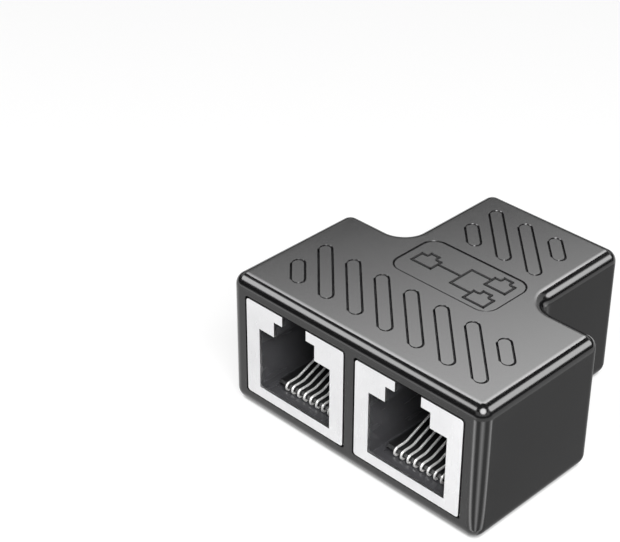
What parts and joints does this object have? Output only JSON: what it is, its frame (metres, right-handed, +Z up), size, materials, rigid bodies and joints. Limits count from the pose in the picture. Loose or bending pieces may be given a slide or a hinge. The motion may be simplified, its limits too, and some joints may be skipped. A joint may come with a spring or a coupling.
{
  "type": "ethernet cable splitter",
  "caption": "T-shaped black plastic network cable splitter with shielded modular sockets side by side on its bar and another on the end of its stem.",
  "frame": {"origin": "middle of the overall footprint, on the underside that it rests on", "axes": "+X along the face with the two sockets, +Y from that face to the single socket, +Z up through the slotted face"},
  "size_m": [0.0392, 0.037, 0.0182],
  "materials": {
    "case_plastic": "gloss sides with a satin top face",
    "socket_plastic": "moulded satin",
    "shield_steel": "nickel-plated, satin",
    "contact_metal": "plated, polished",
    "board_laminate": "solder-masked laminate"
  },
  "bodies": {
    "root": {"upper_shell": "case_plastic", "lower_shell": "case_plastic", "circuit_board": "board_laminate", "jack_shield_left": "shield_steel", "jack_body_left": "socket_plastic", "contact_carrier_left": "socket_plastic", "contact_left_1": "contact_metal", "contact_left_2": "contact_metal", "contact_left_3": "contact_metal", "contact_left_4": "contact_metal", "contact_left_5": "contact_metal", "contact_left_6": "contact_metal", "contact_left_7": "contact_metal", "contact_left_8": "contact_metal", "jack_shield_right": "shield_steel", "jack_body_right": "socket_plastic", "contact_carrier_right": "socket_plastic", "contact_right_1": "contact_metal", "contact_right_2": "contact_metal", "contact_right_3": "contact_metal", "contact_right_4": "contact_metal", "contact_right_5": "contact_metal", "contact_right_6": "contact_metal", "contact_right_7": "contact_metal", "contact_right_8": "contact_metal", "jack_shield_rear": "shield_steel", "jack_body_rear": "socket_plastic", "contact_carrier_rear": "socket_plastic", "contact_rear_1": "contact_metal", "contact_rear_2": "contact_metal", "contact_rear_3": "contact_metal", "contact_rear_4": "contact_metal", "contact_rear_5": "contact_metal", "contact_rear_6": "contact_metal", "contact_rear_7": "contact_metal", "contact_rear_8": "contact_metal"}
  },
  "joints": []
}
